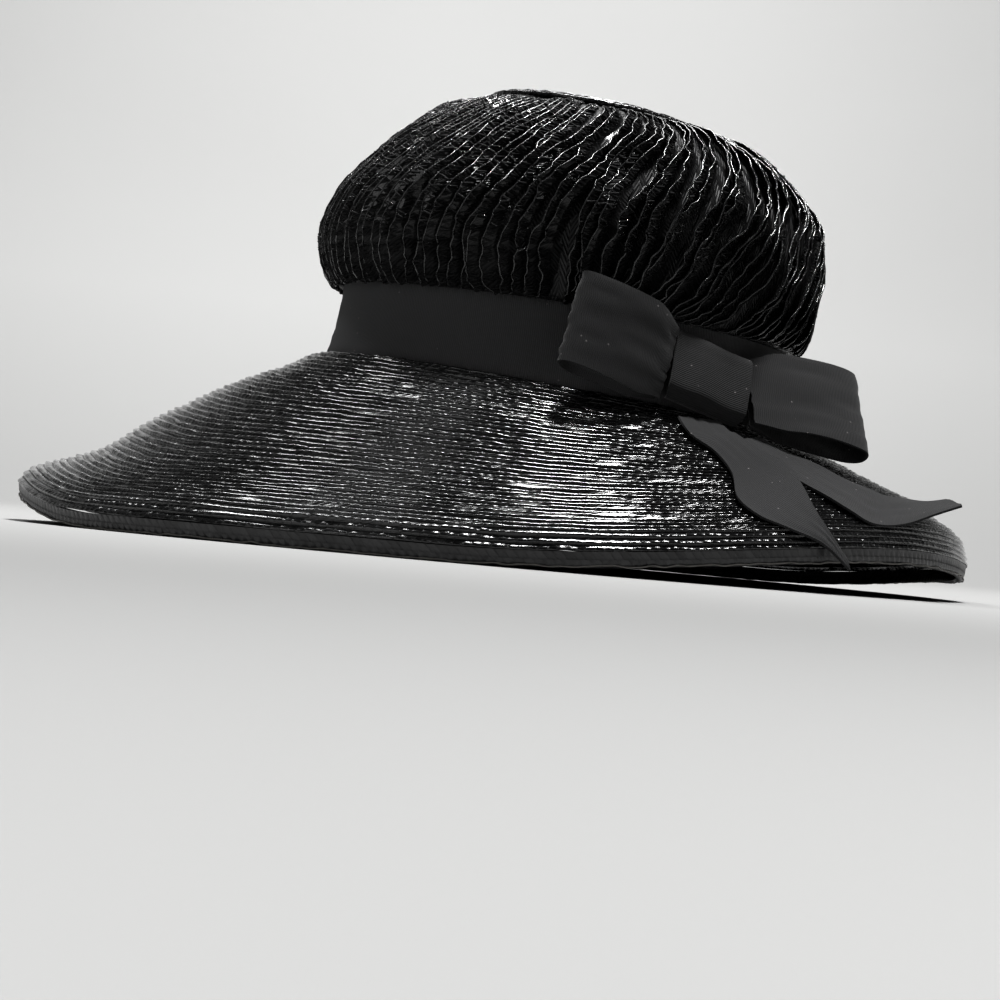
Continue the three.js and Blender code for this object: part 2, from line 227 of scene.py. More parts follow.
# A strip's section, from the edge under its neighbour to its free edge, which is nearer the front: places
# round, as shares of the space between strips, and how far each stands out, as a share of the stand.
STRIP_SECTION = table(
    "across stand", (0.8, -1.2), (0.48, -1.15), (0.2, -0.7), (-0.06, 0.2), (-0.38, 0.75), (-0.55, 1.0)
)

# The steps up a strip, the share of the way up the crown where it starts, and how far it is set in.
STRIP_LEVELS = 150
STRIP_FOOT = 0.055
STRIP_SINK = 0.9

# How far a strip has turned back by each share of the way up, in degrees: at the front and at the back.
SWEEP = table(
    "share front back", (0, 0, -16), (0.15, 0, -9), (0.35, 1, 4), (0.6, 9, 16), (0.85, 20, 22), (1, 20, 20)
)

# The straw along a strip's edge and the share of the zigzag straws that show.
EDGE_RADIUS = 0.38
STRAND_SHARE = 0.5
TUBE_SIDES = 4

# Lengths of a stitch on the strips, on the shell under them and on the tip.
CROWN_STITCH = 1.6
SHELL_STITCH = 3
TIP_STITCH = 3

# The tip's underside, from its edge to its middle.
TIP_UNDER = table("share height", (0.985, 0.3), (0.9, 0.6), (0.5, 1.2), (0, 1.6))

# The ribbon is drawn a little thinner than its solid, which leaves room for its waves. Where it bends by
# more degrees than this, its corner is sharp.
DRAWN_RIBBON_WALL = 0.9
SHARP_CORNER = 50

# Steps round the hat, or round the stage, in the grid of each piece.
STEPS = {
    "brim_rows": 448, "brim_underside": 300, "rim_thread": 1100, "crown_shell": 240, "crown_tip_rows": 320,
    "hatband_ribbon": 360, "stage_floor": 96,
}


# ---- Numbers ----


def mix(low, high, share):
    return low + (high - low) * share


def smoothstep(value, low, high):
    share = np.clip((value - low) / (high - low), 0, 1)
    return share * share * (3 - 2 * share)


def unit(vectors):
    return vectors / np.maximum(np.linalg.norm(vectors, axis=-1, keepdims=True), 1e-9)


def joined(*parts):
    """Arrays spread over each other's shape, as the last axis of one array."""
    return np.stack(np.broadcast_arrays(*parts), axis=-1)


def even_turns(count):
    """Angles round a circle, in even steps from 0."""
    return np.arange(count) * 2 * math.pi / count


def closed_shares(count):
    """Shares of the way round at even turns, with 1 at the end for the turn that closes them."""
    return np.linspace(0, 1, count + 1)


def eased(rows, key, column, value):
    """A column read at values of the key column, on a curve with the rows' own slopes."""
    keys, values = rows[key], rows[column]
    slopes = np.gradient(values, keys)
    i = np.clip(np.searchsorted(keys, value, side="right") - 1, 0, len(keys) - 2)
    width = keys[i + 1] - keys[i]
    t = (np.clip(value, keys[0], keys[-1]) - keys[i]) / width
    start = (2 * t ** 3 - 3 * t ** 2 + 1) * values[i] + (t ** 3 - 2 * t ** 2 + t) * width * slopes[i]
    end = (3 * t ** 2 - 2 * t ** 3) * values[i + 1] + (t ** 3 - t ** 2) * width * slopes[i + 1]
    return start + end


def flowing(rows, column, share):
    """A column read at shares from 0 to 1 of the way through its rows, on a Catmull-Rom curve."""
    values = rows[column]
    last = len(values) - 1
    at = np.clip(share, 0, 1) * last
    i = np.minimum(at.astype(int), last - 1)
    t = at - i
    before, low, high, after = (values[np.clip(i + step, 0, last)] for step in (-1, 0, 1, 2))
    slope_low, slope_high = (high - before) / 2, (after - low) / 2
    return (
        (2 * low - 2 * high + slope_low + slope_high) * t ** 3
        + (3 * high - 3 * low - 2 * slope_low - slope_high) * t ** 2
        + slope_low * t
        + low
    )


def wander(random, lines, share, knots, looped=True, kinked=False):
    """For each line, a walk between -1 and 1 over shares from 0 to 1. Gives lines x shares.

    A kinked walk goes straight from knot to knot, and the others are smooth.
    """
    values = random.uniform(-1, 1, (lines, knots + 1))
    if looped:
        values[:, -1] = values[:, 0]
    at = np.clip(share, 0, 1) * knots
    i = np.minimum(at.astype(int), knots - 1)
    t = at - i if kinked else smoothstep(at - i, 0, 1)
    return mix(values[:, i], values[:, i + 1], t)


# ---- Surfaces ----


def foot_height(turn):
    around = np.degrees(turn) % 360
    turns, rises = RIM_RISE["turn"], RIM_RISE["rise"]
    i = np.clip(np.searchsorted(turns, around, side="right"), 1, len(turns) - 1)
    return mix(rises[i - 1], rises[i], smoothstep(around, turns[i - 1], turns[i]))


def brim_surface(span, turn):
    """The brim's upper surface: span runs from 0 at the headline to 1 at the rim."""
    span = np.clip(span, 0, 1)
    front, side, back = (eased(BRIM_FALL, "span", column, span) for column in ("front", "side", "back"))
    fall = mix(side, np.where(np.cos(turn) > 0, front, back), np.cos(turn) ** 2)
    headline = mix(HEADLINE_BACK, HEADLINE_FRONT, (1 + np.cos(turn)) / 2)
    return joined(
        mix(HEAD_WIDTH, BRIM_WIDTH, span) / 2 * np.sin(turn),
        mix(HEAD_MIDDLE, 0, span) - mix(HEAD_LENGTH, BRIM_LENGTH, span) / 2 * np.cos(turn),
        mix(headline, foot_height(turn) + LIP_HEIGHT, fall),
    )


def ring_surface(rings, share, turn, out=0.0):
    """The surface through a table's rings, at a share of the way up them and a distance out."""
    columns = ("front_y", "back_y", "half", "front_z", "back_z")
    front_y, back_y, half, front_z, back_z = (flowing(rings, column, share) for column in columns)
    return joined(
        (half + out) * np.sin(turn),
        (front_y + back_y) / 2 - ((back_y - front_y) / 2 + out) * np.cos(turn),
        mix(back_z, front_z, (1 + np.cos(turn)) / 2) + GAP,
    )


def facing(surface, first, turn, step=0.006):
    """The surface's outward direction, from its slopes both ways."""
    low, high = np.clip(first - step, 0, 1), np.clip(first + step, 0, 1)
    down = surface(high, turn) - surface(low, turn)
    around = surface(first, turn + step) - surface(first, turn - step)
    return unit(np.cross(down, around))


def crown_facing(share, turn):
    return -facing(functools.partial(ring_surface, CROWN_RINGS), share, turn)


# ---- Meshes ----


def grid_faces(shape, looped=(False, False)):
    """The grid's faces as rows of four vertex numbers, and each corner's place in the grid."""
    count_u, count_v = shape
    cells_u = count_u if looped[0] else count_u - 1
    cells_v = count_v if looped[1] else count_v - 1
    u, v = np.meshgrid(np.arange(cells_u), np.arange(cells_v), indexing="ij")
    places = np.stack([joined(u + du, v + dv) for du, dv in ((0, 0), (1, 0), (1, 1), (0, 1))], -2)
    places = places.reshape(-1, 4, 2)
    faces = (places[..., 0] % count_u) * count_v + places[..., 1] % count_v
    return faces, places


def add_piece(name, points, faces, corner_uv, material, slot, replaces=()):
    """A mesh object from points in millimetres. It rides on the hat and stands for CAD nodes."""
    mesh = bpy.data.meshes.new(name)
    mesh.vertices.add(len(points))
    mesh.vertices.foreach_set("co", (points * MM).astype(np.float32).ravel())
    mesh.loops.add(faces.size)
    mesh.loops.foreach_set("vertex_index", faces.astype(np.int32).ravel())
    mesh.polygons.add(len(faces))
    mesh.polygons.foreach_set("loop_start", np.arange(0, faces.size, 4, dtype=np.int32))
    mesh.uv_layers.new(name="Weave").data.foreach_set("uv", corner_uv.astype(np.float32).ravel())
    mesh.update(calc_edges=True)
    mesh.validate()
    mesh.shade_smooth()
    mesh.materials.append(material)
    piece = bpy.data.objects.new(name, mesh)
    bpy.context.scene.collection.objects.link(piece)
    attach(piece, "root")
    if replaces:
        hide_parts(*replaces)
    return piece


def add_grids(name, points, uv, material, looped=(False, False), flip=False, **named):
    """A piece from grids of one shape, stacked along the first axis.

    uv has a place for each corner, one more each way that the grids are looped.
    """
    faces, places = grid_faces(points.shape[1:3], looped)
    starts = np.arange(len(points))[:, None, None] * (points.shape[1] * points.shape[2])
    faces = (faces + starts).reshape(-1, 4)
    corner_uv = uv[:, places[..., 0], places[..., 1]].reshape(-1, 4, 2)
    if flip:
        faces, corner_uv = faces[:, ::-1], corner_uv[:, ::-1]
    return add_piece(name, points.reshape(-1, 3), faces, corner_uv, material, **named)


def add_grid(name, points, uv, material, **named):
    """A piece from one grid."""
    return add_grids(name, points[None], uv[None], material, **named)


def lengths_along(points, axis):
    """How far each point lies along its line of the grid, in millimetres."""
    steps = np.linalg.norm(np.diff(points, axis=axis), axis=-1)
    first = np.zeros_like(np.take(steps, [0], axis=axis))
    return np.concatenate([first, np.cumsum(steps, axis=axis)], axis=axis)


def tubes(paths, radius):
    """Thin cords along paths, as a grid for each: paths by steps by sides."""
    along = unit(np.gradient(paths, axis=1))
    side = unit(np.cross(along, UP))
    other = np.cross(along, side)
    angles = even_turns(TUBE_SIDES)[:, None]
    ring = side[..., None, :] * np.cos(angles) + other[..., None, :] * np.sin(angles)
    return paths[..., None, :] + ring * radius


def add_ribbon(node, middle, material, looped=False):
    """A strip of ribbon for a CAD node, about the grid of its middle surface, lengthwise by crosswise.

    It is closed all round, and as long when flat as its area needs at the ribbon's width.
    """
    along = middle if not looped else np.concatenate([middle[-1:], middle, middle[:1]])
    slope_along = np.gradient(along, axis=0)
    if looped:
        slope_along = slope_along[1:-1]
    side = unit(np.cross(slope_along, np.gradient(middle, axis=1))) * DRAWN_RIBBON_WALL / 2
    count_u, count_v = middle.shape[:2]
    ring = np.concatenate([middle + side, (middle - side)[:, ::-1]], axis=1)
    faces, places = grid_faces(ring.shape[:2], (looped, True))
    length = lengths_along(middle, 0).mean(axis=1)
    if looped:
        closing = np.linalg.norm(middle[0] - middle[-1], axis=-1).mean()
        length = np.append(length, length[-1] + closing)
    across = lengths_along(middle, 1).mean(axis=0)
    crosswise = np.concatenate([across, across[::-1], across[:1]])
    corner_uv = joined(length[places[..., 0]], crosswise[places[..., 1]])
    if not looped:
        v = np.arange(count_v - 1)
        mirrored = 2 * count_v - 1 - v
        start = joined(v, v + 1, mirrored - 1, mirrored)
        end = start[:, ::-1] + (count_u - 1) * 2 * count_v
        faces = np.concatenate([faces, start, end])
        corner_uv = np.concatenate([corner_uv, np.zeros((2 * len(v), 4, 2))])
    piece = add_piece(
        node + "_ribbon", ring.reshape(-1, 3), faces, corner_uv, material, "ribbon", replaces=(node,)
    )
    piece.data.set_sharp_from_angle(angle=math.radians(SHARP_CORNER))


# ---- Shader nodes ----


def feed(value, socket):
    """Links a tree's value to a socket, or sets the socket to a plain value."""
    if isinstance(value, Value):
        value.tree.links.new(value.socket, socket)
    else:
        socket.default_value = value


def sum_node(operation, swapped=False):
    """A method that adds a Math node for a value and what it is joined with."""

    def method(self, *others):
        values = (*others, self) if swapped else (self, *others)
        node = self.tree.nodes.new("ShaderNodeMath")
        node.operation = operation
        for value, socket in zip(values, node.inputs):
            feed(value, socket)
        return Value(self.tree, node.outputs["Value"])

    return method


class Value:
    """A value that a node tree works out. Python's own signs for sums add Math nodes to the tree."""

    def __init__(self, tree, socket):
        self.tree = tree
        self.socket = socket

    __add__ = sum_node("ADD")
    __sub__ = sum_node("SUBTRACT")
    __rsub__ = sum_node("SUBTRACT", swapped=True)
    __mul__ = sum_node("MULTIPLY")
    __truediv__ = sum_node("DIVIDE")
    __pow__ = sum_node("POWER")
    __abs__ = sum_node("ABSOLUTE")
    __lt__ = sum_node("LESS_THAN")
    __gt__ = sum_node("GREATER_THAN")
    floor = sum_node("FLOOR")
    fraction = sum_node("FRACT")
    sine = sum_node("SINE")


def add_node(tree, kind, output, inputs, **settings):
    """Adds a shader node with its settings, feeds its inputs by their names and gives one output."""
    node = tree.nodes.new("ShaderNode" + kind)
    for name, setting in settings.items():
        setattr(node, name, setting)
    for name, value in inputs.items():
        feed(value, node.inputs[name])
    return Value(tree, node.outputs[output])


def ranged(tree, value, low=0.0, high=1.0, start=0.0, end=1.0, blend="LINEAR"):
    """A number that goes from low to high as another goes from start to end."""
    inputs = {"Value": value, "From Min": start, "From Max": end, "To Min": low, "To Max": high}
    return add_node(tree, "MapRange", "Result", inputs, interpolation_type=blend)


def blend_colours(tree, share, low, high):
    return add_node(tree, "Mix", "Result", {"Factor": share, "A": low, "B": high}, data_type="RGBA")


def bump(tree, height, relief, strength=1.0, normal=None):
    """A normal bent by a height, whose whole range stands for a relief in millimetres."""
    inputs = {"Height": height, "Distance": relief * MM, "Strength": strength}
    if normal is not None:
        inputs["Normal"] = normal
    return add_node(tree, "Bump", "Normal", inputs)


def surface_place(tree):
    """The place on a piece, in the hat's own axes and in metres."""
    return add_node(tree, "TexCoord", "Object", {})


def three_parts(tree, vector):
    node = tree.nodes.new("ShaderNodeSeparateXYZ")
    feed(vector, node.inputs["Vector"])
    return [Value(tree, socket) for socket in node.outputs]


def weave_numbers(tree):
    """The two numbers of the Weave map: stitches and rows on straw, millimetres on ribbon."""
    return three_parts(tree, add_node(tree, "UVMap", "UV", {}, uv_map="Weave"))[:2]


def noise(tree, place, scale, detail=2.0, roughness=0.5):
    inputs = {"Vector": place, "Scale": scale, "Detail": detail, "Roughness": roughness}
    return add_node(tree, "TexNoise", "Fac", inputs)


def random_of(tree, *values):
    """Three random numbers from 0 to 1 for each different set of three values."""
    values = add_node(tree, "CombineXYZ", "Vector", dict(zip("XYZ", values)))
    colour = add_node(tree, "TexWhiteNoise", "Color", {"Vector": values}, noise_dimensions="3D")
    return three_parts(tree, colour)


def new_group(name, **inputs):
    """A shader node group with number inputs, with _ for a space in their names. Gives them as values."""
    tree = bpy.data.node_groups.new(name, "ShaderNodeTree")
    for label, default in inputs.items():
        socket = tree.interface.new_socket(
            name=label.replace("_", " "), in_out="INPUT", socket_type="NodeSocketFloat"
        )
        socket.default_value = default
    sockets = tree.nodes.new("NodeGroupInput").outputs
    return tree, [Value(tree, socket) for socket in list(sockets)[: len(inputs)]]


def finish_group(tree, **outputs):
    """Gives a group its number outputs."""
    for label in outputs:
        tree.interface.new_socket(name=label, in_out="OUTPUT", socket_type="NodeSocketFloat")
    node = tree.nodes.new("NodeGroupOutput")
    for label, value in outputs.items():
        feed(value, node.inputs[label])
    return tree


def place_group(tree, group, **inputs):
    """Adds a group's node and gives its outputs by name. Inputs have _ for a space in their names."""
    node = tree.nodes.new("ShaderNodeGroup")
    node.node_tree = group
    for label, value in inputs.items():
        feed(value, node.inputs[label.replace("_", " ")])
    return {socket.name: Value(tree, socket) for socket in node.outputs}


@functools.cache
def plait_group():
    """Plaited straw: raised stitches in rows, each a facet with a tilt and a tone of its own.

    Chevron at 1 folds each row down its middle, so that its stitches slant both ways. Crease is 1 where a
    row tucks under its neighbour.
    """
    tree, (stitch, row, slant, chevron, unevenness, tilt, dome, crease_end) = new_group(
        "Straw Plait", Stitch=0.0, Row=0.0, Slant=0.4, Chevron=0.0, Unevenness=0.6, Tilt=0.5, Dome=0.6,
        Crease_End=0.3,
    )
    surface = surface_place(tree)
    across = row.fraction()
    from_middle = across * 2.0 - 1.0
    line = (across > 0.5) * chevron * 0.5 + row.floor()
    slanted = (abs(from_middle) * chevron + across * (1.0 - chevron)) * slant + stitch
    drift = (noise(tree, surface, scale=140.0) - 0.5) * unevenness
    place = random_of(tree, line, 0.5, 0.5)[0] * 7.0 + slanted + drift
    centred = place.fraction() * 2.0 - 1.0
    tone, lean_along, lean_across = random_of(tree, place.floor(), line, 0.5)
    across_half = abs(from_middle) * 2.0 - 1.0
    local = (across_half - from_middle) * chevron + from_middle
    leaning = ((lean_along - 0.5) * centred + (lean_across - 0.5) * local) * tilt
    grain = add_node(
        tree, "CombineXYZ", "Vector", {"X": place * 8.0, "Y": across * 1.5, "Z": line * 3.7 + tone}
    )
    return finish_group(
        tree,
        Height=leaning - centred * centred * dome,
        Tone=tone,
        Gap=abs(centred) ** 5.0,
        Crease=ranged(tree, across, low=1.0, high=0.0, end=crease_end, blend="SMOOTHSTEP"),
        Grain=noise(tree, grain, scale=1.0, roughness=0.6),
    )


@functools.cache
def grosgrain_group():
    """Ribbed ribbon: fine ribs across its length, with the threads that they are made of."""
    tree, (along, across, pitch) = new_group("Grosgrain Ribs", Along=0.0, Across=0.0, Rib_Pitch=0.8)
    ribs = (along / pitch * (2 * math.pi)).sine()
    yarn = (across * (2 * math.pi / 0.35)).sine()
    cloth = noise(tree, surface_place(tree), scale=2600.0)
    height = yarn * 0.15 + ribs + cloth * 0.8
    return finish_group(tree, Height=height, Tone=ranged(tree, ribs, low=0.3, high=0.7))


@functools.cache
def lint_group():
    """Dust: small pale specks, and a wider bloom of settled dust."""
    tree, (speck_scale, rarity) = new_group("Lint", Speck_Scale=420.0, Rarity=0.05)
    surface = surface_place(tree)
    cells = tree.nodes.new("ShaderNodeTexVoronoi")
    feed(surface, cells.inputs["Vector"])
    feed(speck_scale, cells.inputs["Scale"])
    near = Value(tree, cells.outputs["Distance"]) < SPECK_RADIUS
    rare = three_parts(tree, Value(tree, cells.outputs["Color"]))[0] < rarity
    bloom = noise(tree, surface, scale=45.0, detail=4.0, roughness=0.65)
    return finish_group(tree, Specks=near * rare, Bloom=bloom)


# ---- Materials ----


def new_material(name, constants):
    """A material with plain values on its shader. Gives its tree and the shader's inputs too."""
    material = bpy.data.materials.new(name)
    material.use_nodes = True
    shader = material.node_tree.nodes["Principled BSDF"].inputs
    for label, value in constants.items():
        shader[label].default_value = value
    return material, material.node_tree, shader


# The plait on each part of the hat, by the plait group's inputs.
BRIM_WEAVE = {"Slant": 0.5, "Tilt": 1.7}
LIP_WEAVE = {"Slant": 0.8, "Tilt": 0.5}
CROWN_WEAVE = {"Slant": 2.0, "Chevron": 1.0, "Tilt": 1.3, "Dome": 1.0, "Crease_End": 0.7}
EDGE_WEAVE = {"Slant": 0.0, "Tilt": 1.0, "Crease_End": 0.001}

# Each kind of straw. Gloss runs from 0, dull, to 1, mirror-like, and relief is in millimetres. Picked is the
# tone, from 0 to 1, under which a stitch's lacquer has gone dull. Under the height given in millimetres
# after it, the rest of the lacquer is taken off too: a painted shade that keeps the lower crown dark.
STRAW_DEFAULTS = {"picked": 0.0, "painted_shade_under": None, "coat_ior": 1.5}
STRAWS = {
    "brim_straw": {"gloss": 0.85, "relief": 0.35, "weave": BRIM_WEAVE},
    "brim_underside_straw": {"gloss": 0.3, "relief": 0.25, "weave": BRIM_WEAVE},
    "lip_straw": {"gloss": 0.25, "relief": 0.25, "weave": LIP_WEAVE},
    "crown_straw": {"gloss": 1.0, "relief": 0.45, "weave": CROWN_WEAVE, "picked": 0.25, "painted_shade_under": 125},
    "crown_edge_straw": {"gloss": 1.0, "relief": 0.1, "weave": EDGE_WEAVE},
    "crown_strand_straw": {
        "gloss": 1.0, "relief": 0.05, "weave": EDGE_WEAVE, "picked": 0.1, "painted_shade_under": 118, "coat_ior": 3.0,
    },
    "crown_shell_straw": {"gloss": 0.2, "relief": 0.3, "weave": CROWN_WEAVE},
    "tip_straw": {"gloss": 0.85, "relief": 0.35, "weave": BRIM_WEAVE},
}
# How far above and below that height the lacquer fades out.
PAINTED_SHADE_BLEND = 15

# A speck's radius as a share of the space between specks, and the colours of dust and shade.
SPECK_RADIUS = 0.16
STRAW_DUST = (0.1, 0.1, 0.1, 1)
RIBBON_DUST = (0.16, 0.15, 0.15, 1)
THREAD_SHADE = (0.05, 0.05, 0.05, 1)

# The paper is darker up to a height, and turns grey between two places to the wearer's left, in metres: both
# are painted shade.
SHADED_PAPER_TOP = 0.3
GREY_PAPER_START = 1.15
GREY_PAPER_END = 1.9
GREY_PAPER = (0.07, 0.07, 0.07, 1)


def straw_material(name, dark, pale):
    """Lacquered straw plait in two tones, of one of the kinds in STRAWS."""
    kind = {**STRAW_DEFAULTS, **STRAWS[name]}
    gloss, picked, painted_shade_under = kind["gloss"], kind["picked"], kind["painted_shade_under"]
    material, tree, shader = new_material(
        name,
        {
            "Specular IOR Level": 0.2 if painted_shade_under else 0.55,
            "Coat Roughness": 0.08,
            "Coat IOR": kind["coat_ior"],
        },
    )
    stitch, row = weave_numbers(tree)
    plait = place_group(tree, plait_group(), Stitch=stitch, Row=row, **kind["weave"])
    lint = place_group(tree, lint_group(), Rarity=0.012)
    tone = blend_colours(tree, plait["Tone"], dark, pale)
    polish = ranged(tree, plait["Tone"], start=picked - 0.25, end=picked + 0.05)
    lacquer = polish * (1.0 - plait["Crease"])
    # Painted shade: below the given height the lacquer fades out, so that the lower crown stays dark.
    if painted_shade_under:
        height = three_parts(tree, surface_place(tree))[2]
        start, end = (painted_shade_under - PAINTED_SHADE_BLEND) * MM, (painted_shade_under + PAINTED_SHADE_BLEND) * MM
        lacquer = lacquer * ranged(tree, height, start=start, end=end)
    rough = ranged(tree, lacquer, low=0.55, high=mix(0.4, 0.1, gloss))
    fibres = bump(tree, plait["Grain"], relief=0.12, strength=0.6)
    feed(blend_colours(tree, lint["Specks"], tone, STRAW_DUST), shader["Base Color"])
    feed(lint["Bloom"] * 0.1 + rough + plait["Gap"] * 0.15, shader["Roughness"])
    feed(lacquer * (0.8 * gloss), shader["Coat Weight"])
    feed(bump(tree, plait["Height"], relief=kind["relief"], normal=fibres), shader["Normal"])
    return material


def ribbon_material(name, sunken, raised):
    """Matt grosgrain with a soft sheen and specks of dust."""
    material, tree, shader = new_material(
        name, {"Sheen Weight": 0.12, "Sheen Roughness": 0.4, "Specular IOR Level": 0.25}
    )
    along, across = weave_numbers(tree)
    ribs = place_group(tree, grosgrain_group(), Along=along, Across=across)
    lint = place_group(tree, lint_group(), Rarity=0.05)
    tone = blend_colours(tree, ribs["Tone"], sunken, raised)
    settled = blend_colours(tree, lint["Bloom"] * 0.25, tone, raised)
    feed(blend_colours(tree, lint["Specks"], settled, RIBBON_DUST), shader["Base Color"])
    feed(ranged(tree, lint["Bloom"], low=0.8, high=0.95), shader["Roughness"])
    feed(bump(tree, ribs["Height"], relief=0.07, strength=0.8), shader["Normal"])
    return material


def thread_material(colour):
    """Pale sewing thread with a fine twist."""
    material, tree, shader = new_material("lip_thread", {"Roughness": 0.6})
    along, across = weave_numbers(tree)
    strand = ranged(tree, noise(tree, surface_place(tree), scale=300.0), low=0.55)
    feed(blend_colours(tree, strand, THREAD_SHADE, colour), shader["Base Color"])
    feed(bump(tree, (across * 6.0 + along).sine(), relief=0.1), shader["Normal"])
    return material


def stage_material(colour):
    """Seamless paper with a faint mottle, and painted shade: a little darker on the floor and grey behind
    the camera.
    """
    material, tree, shader = new_material("stage_paper", {"Roughness": 0.9, "Specular IOR Level": 0.0})
    paler = tuple(min(value * 1.03, 1.0) for value in colour[:3]) + (1.0,)
    shaded = tuple(value * 0.85 for value in colour[:3]) + (1.0,)
    surface = surface_place(tree)
    x, _, z = three_parts(tree, surface)
    wall = blend_colours(tree, noise(tree, surface, scale=3.0), colour, paler)
    # Painted shade: the paper darkens towards the floor.
    paper = blend_colours(tree, ranged(tree, z, end=SHADED_PAPER_TOP), shaded, wall)
    # Painted shade: the paper turns grey behind the camera, which keeps pale reflections off the lacquer.
    behind = ranged(tree, x, start=GREY_PAPER_START, end=GREY_PAPER_END, blend="SMOOTHSTEP")
    feed(blend_colours(tree, behind, paper, GREY_PAPER), shader["Base Color"])
    return material


# ---- Settings ----


def colour_setting(name, description, *tone):
    return bpy.props.FloatVectorProperty(
        name=name, description=description, subtype="COLOR", size=4, min=0, max=1, default=(*tone, 1)
    )


def angle_setting(name, description, degrees):
    return bpy.props.FloatProperty(
        name=name, description=description, subtype="ANGLE", default=math.radians(degrees)
    )


class StrawHatBrimSettings(bpy.types.PropertyGroup):
    rows: bpy.props.IntProperty(name="Rows", description="Rows of braid over the brim", default=44, min=8)
    stitch: bpy.props.FloatProperty(
        name="Stitch Length", description="Length of a stitch of the plait, in millimetres", default=3.2
    )
    row_rise: bpy.props.FloatProperty(
        name="Row Rise", description="How far a row's outer edge stands up, in millimetres", default=0.75
    )
    unevenness: bpy.props.FloatProperty(
        name="Unevenness", description="How much rows sway and swell", default=1.0, min=0
    )


class StrawHatCrownSettings(bpy.types.PropertyGroup):
    strips: bpy.props.IntProperty(
        name="Strips", description="Gathered strips of braid round the crown", default=116, min=12
    )
    stand: bpy.props.FloatProperty(
        name="Edge Stand", description="How far a strip's free edge stands up, in millimetres", default=1.9
    )
    jag: bpy.props.FloatProperty(
        name="Jaggedness", description="How much a strip's free edge zigzags", default=1.0, min=0
    )
    tip_rows: bpy.props.IntProperty(name="Tip Rows", description="Rows of braid on the tip", default=15)


class StrawHatFinishSettings(bpy.types.PropertyGroup):
    straw: colour_setting("Straw", "Colour of the straw", 0.003, 0.003, 0.0033)
    straw_highlight: colour_setting("Pale Straw", "Colour of the palest stitches", 0.008, 0.008, 0.0085)
    # Painted highlight: the strips' edges are painted paler than the straw, standing in for the light that
    # their rounded edges catch.
    edge_highlight_straw: colour_setting("Edge Highlight", "Colour of the strips' worn edges", 0.04, 0.04, 0.041)
    lip_straw: colour_setting("Lip Straw", "Colour of the lip's palest stitches", 0.03, 0.03, 0.031)
    ribbon: colour_setting("Ribbon", "Colour between the ribbon's ribs", 0.014, 0.014, 0.0145)
    ribbon_raised: colour_setting("Ribbon Ribs", "Colour on the ribbon's ribs", 0.036, 0.036, 0.037)
    # Painted light: the band's ribs are drawn paler than the bow's, to lift the shade that the crown's bulge
    # casts on the band.
    ribbon_band_painted_light: colour_setting(
        "Band Ribbon Painted Light", "Colour on the ribs of the band, which is painted lightest", 0.1, 0.1, 0.102
    )
    thread: colour_setting("Thread", "Colour of the thread under the lip", 0.32, 0.31, 0.29)


class StrawHatStageSettings(bpy.types.PropertyGroup):
    paper: colour_setting("Paper", "Colour of the floor and backdrop", 0.4, 0.4, 0.397)
    azimuth: angle_setting("Azimuth", "Camera's angle round from the front", 85)
    elevation: angle_setting("Elevation", "Camera's angle over the level of what it looks at", -0.7)
    roll: angle_setting("Roll", "Camera's turn about its view", 5)
    distance: bpy.props.FloatProperty(
        name="Distance", description="Camera's distance from the hat", unit="LENGTH", default=1.1
    )
    lens: bpy.props.FloatProperty(
        name="Lens", description="Camera's focal length, in millimetres on a 36 mm sensor", default=93.9
    )


# ---- Straw pieces ----


def straw_tones(finish):
    return tuple(finish.straw), tuple(finish.straw_highlight)


def brim_rows(size, rows, turns, section, last_span, seed):
    """Rows of braid over the brim, as a grid of turns by places across and its Weave numbers."""
    random = np.random.default_rng(seed)
    share = turns / (2 * math.pi)
    row = np.repeat(np.arange(rows), len(section["across"]))
    across = np.tile(section["across"], rows)
    spans = np.linspace(0, last_span, 200)
    slope = lengths_along(brim_surface(spans, turns[:, None]), 1)
    slope = slope / slope[:, -1:]
    sway = ROW_SWAY * size.unevenness * wander(random, rows, share, knots=70)[row].T
    swell = 1 + ROW_SWELL * size.unevenness * wander(random, rows, share, knots=190)[row].T
    ripple = ROW_RIPPLE * size.unevenness * wander(random, rows, share, knots=110)[row].T
    place = np.clip((row + across + sway) / rows, 0, 1)
    span = np.stack([np.interp(place[i], slope[i], spans) for i in range(len(turns))])
    height = np.tile(section["rise"], rows) * size.row_rise * swell + ripple
    points = brim_surface(span, turns[:, None])
    points += facing(brim_surface, span, turns[:, None]) * height[..., None]
    radius = mix(HEAD_WIDTH + HEAD_LENGTH, BRIM_WIDTH + BRIM_LENGTH, row / rows) / 4
    stitches = np.round(2 * math.pi * radius / size.stitch)
    return points, joined(closed_shares(len(turns))[:, None] * stitches, row + across)


class STRAWHAT_OT_brim(bpy.types.Operator):
    """Builds the brim's rows of braid, above and below"""

    bl_idname = "straw_hat.brim"
    bl_label = "Brim"

    def execute(self, context):
        size = context.scene.straw_hat_brim
        tones = straw_tones(context.scene.straw_hat_finish)
        points, weave = brim_rows(size, size.rows, even_turns(STEPS["brim_rows"]), ROW_SECTION, 1.0, seed=5)
        add_grid(
            "brim_rows", points, weave, straw_material("brim_straw", *tones), looped=(True, False),
            slot="straw_braid", replaces=("brim",),
        )
        hollow = {"across": ROW_SECTION["across"][:4], "rise": -ROW_SECTION["rise"][:4]}
        turns = even_turns(STEPS["brim_underside"])
        points, weave = brim_rows(size, size.rows - ROWS_IN_LIP, turns, hollow, UNDERSIDE_END, seed=6)
        points[..., 2] -= BRIM_WALL
        add_grid(
            "brim_underside", points, weave, straw_material("brim_underside_straw", *tones),
            looped=(True, False), flip=True, slot="straw_braid",
        )
        return {"FINISHED"}


